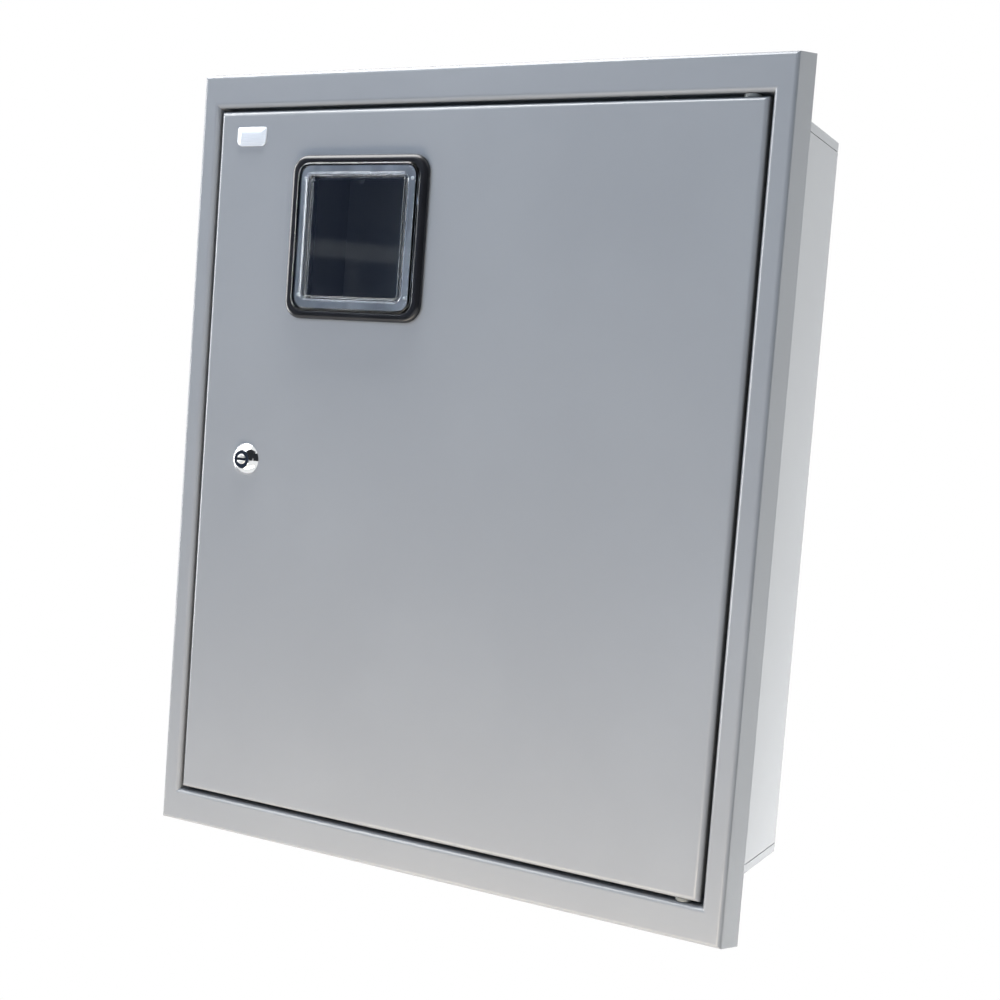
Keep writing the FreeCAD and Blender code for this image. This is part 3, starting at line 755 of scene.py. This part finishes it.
def panScrew(radius, height, slotted=False):
    # head on the plane y = 0, standing towards -Y
    profile = [(0.0, 0.0), (radius, 0.0), (radius, -0.35 * height)]
    for step in range(1, 6):
        angle = math.radians(90 * step / 5)
        reach = radius * (1 - 0.42 * (1 - math.cos(angle)))
        profile.append((reach, -0.35 * height - 0.65 * height * math.sin(angle)))
    profile.append((0.0, -height))
    head = spun(profile, (0.0, 0.0), 40)
    wide = radius * (2.2 if slotted else 1.05)
    thin = radius * 0.3
    cutters = [slab(wide, thin, -2 * height, -0.45 * height, (0.0, 0.0))]
    if not slotted:
        cutters.append(slab(thin, wide, -2 * height, -0.45 * height, (0.0, 0.0)))
    cut = cutBy(head, cutters)
    data = bpy.data.meshes.new("screwHead")
    cut.to_mesh(data)
    cut.free()
    return data


def screwsAt(name, head, places, body, facing=1):
    # places are (x, y of the seat, z); every head is turned a little differently
    mesh = bmesh.new()
    for index, (x, y, z) in enumerate(places):
        before = set(mesh.verts)
        mesh.from_mesh(head)
        fresh = [vert for vert in mesh.verts if vert not in before]
        spin = Matrix.Rotation(math.radians(37 * index + 12), 4, "Y")
        flip = Matrix.Rotation(math.radians(0 if facing > 0 else 180), 4, "Z")
        bmesh.ops.transform(mesh, matrix=Matrix.Translation((x, y, z)) @ flip @ spin, verts=fresh)
    return finishPiece(name, mesh, zinc, body)


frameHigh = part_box("trim_frame")[1]
plateLow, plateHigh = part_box("meter_plate")
railLow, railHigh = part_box("module_rail")
shortLow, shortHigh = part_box("switch_rail")
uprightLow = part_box("upright_right")[0]
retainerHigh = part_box("window_retainer")[1]
fixings = {
    "sheet": 1.2 * mm,
    "railSheet": 1.0 * mm,
    "frameX": 130 * mm,
    "frameZ": 239.2 * mm,
    "uprightX": uprightLow.x + 9 * mm,
    "plateEdge": 10 * mm,
    "shortRailX": 40 * mm,
    "barSteps": (-33 * mm, -11 * mm, 11 * mm, 33 * mm),
}
bigHead = panScrew(4.6 * mm, 2.4 * mm)
midHead = panScrew(4.2 * mm, 2.2 * mm)
smallHead = panScrew(2.9 * mm, 1.7 * mm)
barHead = panScrew(2.5 * mm, 1.9 * mm, slotted=True)


def bothWays(distance):
    return (-distance, distance)


seat = frameHigh.y - fixings["sheet"]
places = [(x, seat, z) for x in bothWays(fixings["frameX"]) for z in bothWays(fixings["frameZ"])]
screwsAt("frameScrews", bigHead, places, "casing")
plateRows = (plateLow.z + fixings["plateEdge"], plateHigh.z - fixings["plateEdge"])
places = [(x, plateLow.y, z) for x in bothWays(fixings["uprightX"]) for z in plateRows]
screwsAt("plateScrews", midHead, places, "casing")
seat = railHigh.y - fixings["railSheet"]
shortSeat = shortHigh.y - fixings["railSheet"]
railZ = (railLow.z + railHigh.z) / 2
shortX = (shortLow.x + shortHigh.x) / 2
shortZ = (shortLow.z + shortHigh.z) / 2
places = [(x, seat, railZ) for x in bothWays(fixings["uprightX"])]
places += [(shortX + x, shortSeat, shortZ) for x in bothWays(fixings["shortRailX"])]
screwsAt("railScrews", midHead, places, "casing")
bossPlaces = [(windowAt[0] + x, retainerHigh.y, windowAt[1] + z)
              for x in bothWays(window["bossX"]) for z in bothWays(window["bossZ"])]
screwsAt("windowScrews", smallHead, bossPlaces, "door", facing=-1)
places = []
for bar in ("neutral_bar", "earth_bar"):
    low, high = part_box(bar)
    middle = (low.x + high.x) / 2
    places += [(middle + step, low.y, (low.z + high.z) / 2) for step in fixings["barSteps"]]
screwsAt("barScrews", barHead, places, "casing")
print("screws made")


# screw shanks that show through the clear cover

def makeCoverShanks(size):
    tip = size["paneFront"] + size["skin"] + 0.05 * mm
    radius = 1.5 * mm
    profile = [(0.0, tip), (0.7 * mm, tip + 0.2 * mm), (1.2 * mm, tip + 0.6 * mm),
               (radius, tip + 1.2 * mm), (radius, retainerHigh.y), (0.0, retainerHigh.y)]
    return merged([spun(profile, (x, z), 24) for x, _, z in bossPlaces])


finishPiece("coverShanks", makeCoverShanks(window), zinc, "door")


# thumb nuts on the cover: fluted grips

knobLow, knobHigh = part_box("cover_knobs")
knob = {
    "radius": 7 * mm,
    "flutes": 18,
    "fluteDepth": 0.55 * mm,
    "bore": 2.05 * mm,
    "collar": 2.2 * mm,
    "collarRadius": 5 * mm,
}


def makeKnobs(size):
    front = knobLow.y
    back = knobHigh.y
    radius = size["radius"]
    collar = back - size["collar"]
    z = (knobLow.z + knobHigh.z) / 2
    profile = [(0.0, front + 0.4 * mm), (2.4 * mm, front + 0.4 * mm), (2.9 * mm, front),
               (radius - 0.9 * mm, front), (radius - 0.2 * mm, front + 0.35 * mm), (radius, front + 1.0 * mm),
               (radius, collar - 0.8 * mm), (radius - 0.8 * mm, collar),
               (size["collarRadius"], collar), (size["collarRadius"], back), (size["bore"], back),
               (size["bore"], front + 2 * mm), (0.0, front + 2 * mm)]
    parts = []
    for x in (knobLow.x + radius, knobHigh.x - radius):
        mesh = spun(profile, (x, z), 4 * size["flutes"])
        for vert in mesh.verts:
            out = Vector((vert.co.x - x, 0, vert.co.z - z))
            if out.length > radius - 0.3 * mm:
                wave = 0.5 - 0.5 * math.cos(size["flutes"] * math.atan2(out.z, out.x))
                vert.co -= out.normalized() * size["fluteDepth"] * wave
        parts.append(mesh)
    return merged(parts)


knobs = finishPiece("thumbNuts", makeKnobs(knob), blackMatt, "casing", 40.0)
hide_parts("cover_knobs")
print("thumb nuts made")


# camera, fitted to the photograph's perspective

camera = {
    "at": (0.48127, -0.98616, 0.03973),
    "right": (0.89533, 0.43848, 0.07823),
    "up": (-0.10262, 0.03215, 0.99420),
    "forward": (-0.43342, 0.89817, -0.07378),
    "lens": 52.284,
    "shiftX": -0.05561,
    "shiftY": 0.03423,
}
right = Vector(camera["right"]).normalized()
back = -Vector(camera["forward"]).normalized()
up = back.cross(right).normalized()
right = up.cross(back).normalized()
lensData = bpy.data.cameras.new("camera")
lensData.lens = camera["lens"]
lensData.sensor_width = 36.0
lensData.shift_x = camera["shiftX"]
lensData.shift_y = camera["shiftY"]
lensData.clip_start = 0.01
cameraObject = bpy.data.objects.new("camera", lensData)
scene.collection.objects.link(cameraObject)
turn = Matrix((right, up, back)).transposed().to_4x4()
cameraObject.matrix_world = Matrix.Translation(camera["at"]) @ turn
scene.camera = cameraObject


# studio: floor, soft lights, dark cards that only gloss and glass see

studio = {
    "floorZ": -0.75,
    "floorSize": 30.0,
    "floorTone": (0.86, 0.86, 0.86),
    "floorPatch": (0.84, 0.84, 0.84),
    "worldTone": (0.72, 0.85, 1.0),
    "worldLevel": 0.27,
}


def whiteShare(finish):
    # 1 for the rays that look straight at the backdrop, mirror it or pass through glass
    rays = finish.tree.nodes.new("ShaderNodeLightPath")
    seen = Wire(finish, rays.outputs["Is Camera Ray"])
    for kind in ("Is Glossy Ray", "Is Transmission Ray"):
        seen = seen.work("MAXIMUM", seen, Wire(finish, rays.outputs[kind]))
    return seen


floorFinish = Finish("floorFinish")
seen = whiteShare(floorFinish)
patches = floorFinish.noise(2.0).between(0.3, 0.7)
tone = floorFinish.blend(patches, rgb(*studio["floorTone"]), rgb(*studio["floorPatch"]))
plain = floorFinish.node("ShaderNodeBsdfPrincipled", None, {"Base Color": tone, "Roughness": 0.8})
glow = floorFinish.node("ShaderNodeEmission", None, {"Color": rgb(1, 1, 1), "Strength": 1.0})
floorFinish.node("ShaderNodeOutputMaterial", None,
                 {"Surface": floorFinish.node("ShaderNodeMixShader", None, {0: seen, 1: plain, 2: glow})})

floorMesh = bmesh.new()
bmesh.ops.create_grid(floorMesh, x_segments=1, y_segments=1, size=studio["floorSize"])
floorData = bpy.data.meshes.new("floor")
floorMesh.to_mesh(floorData)
floorMesh.free()
floorData.transform(Matrix.Translation((0, 0, studio["floorZ"])))
floorData.materials.append(floorFinish.material)
floor = bpy.data.objects.new("floor", floorData)
scene.collection.objects.link(floor)

world = bpy.data.worlds.new("studio")
scene.world = world
world.use_nodes = True
sky = world.node_tree
sky.nodes.clear()
rays = sky.nodes.new("ShaderNodeLightPath")
seen = rays.outputs["Is Camera Ray"]
for kind in ("Is Glossy Ray", "Is Transmission Ray"):
    larger = sky.nodes.new("ShaderNodeMath")
    larger.operation = "MAXIMUM"
    sky.links.new(seen, larger.inputs[0])
    sky.links.new(rays.outputs[kind], larger.inputs[1])
    seen = larger.outputs[0]
white = sky.nodes.new("ShaderNodeBackground")
white.inputs["Color"].default_value = rgb(1, 1, 1)
dim = sky.nodes.new("ShaderNodeBackground")
dim.inputs["Color"].default_value = rgb(*studio["worldTone"])
dim.inputs["Strength"].default_value = studio["worldLevel"]
mix = sky.nodes.new("ShaderNodeMixShader")
sink = sky.nodes.new("ShaderNodeOutputWorld")
sky.links.new(seen, mix.inputs[0])
sky.links.new(dim.outputs[0], mix.inputs[1])
sky.links.new(white.outputs[0], mix.inputs[2])
sky.links.new(mix.outputs[0], sink.inputs["Surface"])


def lamp(name, at, aim, width, height, power, colour, inGloss=True):
    data = bpy.data.lights.new(name, "AREA")
    data.shape = "RECTANGLE"
    data.size = width
    data.size_y = height
    data.energy = power
    data.color = colour
    item = bpy.data.objects.new(name, data)
    scene.collection.objects.link(item)
    item.location = at
    item.rotation_mode = "QUATERNION"
    item.rotation_quaternion = (Vector(aim) - Vector(at)).to_track_quat("-Z", "Y")
    item.visible_glossy = inGloss
    return item


lamp("lowFront", (0.02, -0.60, -0.60), (0.0, -0.165, -0.25), 0.9, 0.2, 4.1, (1.0, 0.87, 0.70))
lamp("softFront", (-0.35, -2.2, 0.5), (0.0, -0.16, 0.0), 2.4, 1.8, 23.0, (0.62, 0.76, 1.0))
lamp("overhead", (0.0, -0.30, 1.2), (0.0, -0.165, 0.1), 1.0, 0.12, 12.0, (0.97, 0.985, 1.0), inGloss=False)
lamp("leftGraze", (-1.7, -0.32, 0.1), (0.0, -0.165, 0.0), 0.12, 1.4, 3.0, (0.93, 0.965, 1.0), inGloss=False)
lamp("rightRear", (0.73, 0.95, -0.50), (0.2, -0.05, -0.10), 0.1, 0.5, 16.0, (0.93, 0.965, 1.0), inGloss=False)
lamp("rightLow", (0.48, 0.46, -0.56), (0.2, -0.07, -0.18), 0.1, 0.3, 6.6, (1.0, 0.98, 0.94), inGloss=False)


def cardFinish(name, tone, strength):
    card = Finish(name + "Finish")
    shade = card.blend(card.noise(3.0).between(0.3, 0.7), rgb(*tone), rgb(*[0.85 * value for value in tone]))
    glow = card.node("ShaderNodeEmission", None, {"Color": shade, "Strength": strength})
    card.node("ShaderNodeOutputMaterial", None, {"Surface": glow})
    return card.material


def bandedFinish(tone):
    # a dark room with one pale level band and a faint upright line
    card = Finish("bandedFinish")
    across = card.node("ShaderNodeSeparateXYZ", None, {"Vector": card.place}, "X")
    level = card.node("ShaderNodeSeparateXYZ", None, {"Vector": card.place}, "Z")
    band = level.between(0.236, 0.246) * (1.0 - level.between(0.256, 0.266))
    below = 1.0 - level.between(0.24, 0.25)
    line = across.between(-0.650, -0.645) * (1.0 - across.between(-0.636, -0.631)) * below
    share = (band * 0.8) + (line * 0.25) + (card.noise(9.0).between(0.4, 0.8) * 0.12)
    shade = card.blend(share, rgb(*tone), rgb(0.42, 0.47, 0.56))
    glow = card.node("ShaderNodeEmission", None, {"Color": shade, "Strength": 1.0})
    card.node("ShaderNodeOutputMaterial", None, {"Surface": glow})
    return card.material


def glossCard(name, finish, at, aim, width, height, inGlass=False):
    # seen in gloss and reflections only
    mesh = bmesh.new()
    bmesh.ops.create_grid(mesh, x_segments=1, y_segments=1, size=0.5)
    data = bpy.data.meshes.new(name)
    mesh.to_mesh(data)
    mesh.free()
    turn = (Vector(aim) - Vector(at)).to_track_quat("-Z", "Y").to_matrix().to_4x4()
    data.transform(Matrix.Translation(at) @ turn @ Matrix.Diagonal((width, height, 1.0, 1.0)))
    data.materials.append(finish)
    item = bpy.data.objects.new(name, data)
    scene.collection.objects.link(item)
    item.visible_camera = False
    item.visible_diffuse = False
    item.visible_transmission = inGlass
    item.visible_shadow = False
    item.visible_volume_scatter = False
    return item


navy = cardFinish("navy", (0.030, 0.040, 0.062), 1.0)
charcoal = cardFinish("charcoal", (0.03, 0.032, 0.036), 1.0)
softbox = cardFinish("softbox", (1.0, 1.0, 1.0), 11.0)
glossCard("leftCard", navy, (-1.30, -1.35, -0.10), (-0.08, -0.17, -0.05), 1.9, 1.7)
glossCard("frontCard", charcoal, (0.25, -2.0, 0.35), (0.0, -0.17, 0.0), 2.4, 1.3)
glossCard("topCard", charcoal, (0.2, -1.4, 1.3), (0.0, -0.17, 0.0), 2.4, 1.3)
glossCard("rightCard", charcoal, (1.45, -0.75, 0.45), (0.2, -0.17, 0.0), 1.6, 1.5)
glossCard("lipCard", charcoal, (1.5, 0.0, -0.05), (0.22, -0.165, -0.05), 0.8, 1.4)
banded = bandedFinish((0.095, 0.13, 0.23))
glossCard("windowCard", banded, (-0.639, -0.985, 0.27), (-0.079, -0.169, 0.155), 0.3, 0.26, True)
glossCard("skyBox", softbox, (-0.85, -0.50, 1.45), (0.0, -0.165, 0.15), 1.7, 1.5, True)
glossCard("sideBox", softbox, (-1.55, -0.60, 0.15), (0.1, -0.165, 0.05), 0.7, 1.4, True)
print("studio made")

scene.view_settings.view_transform = "Standard"
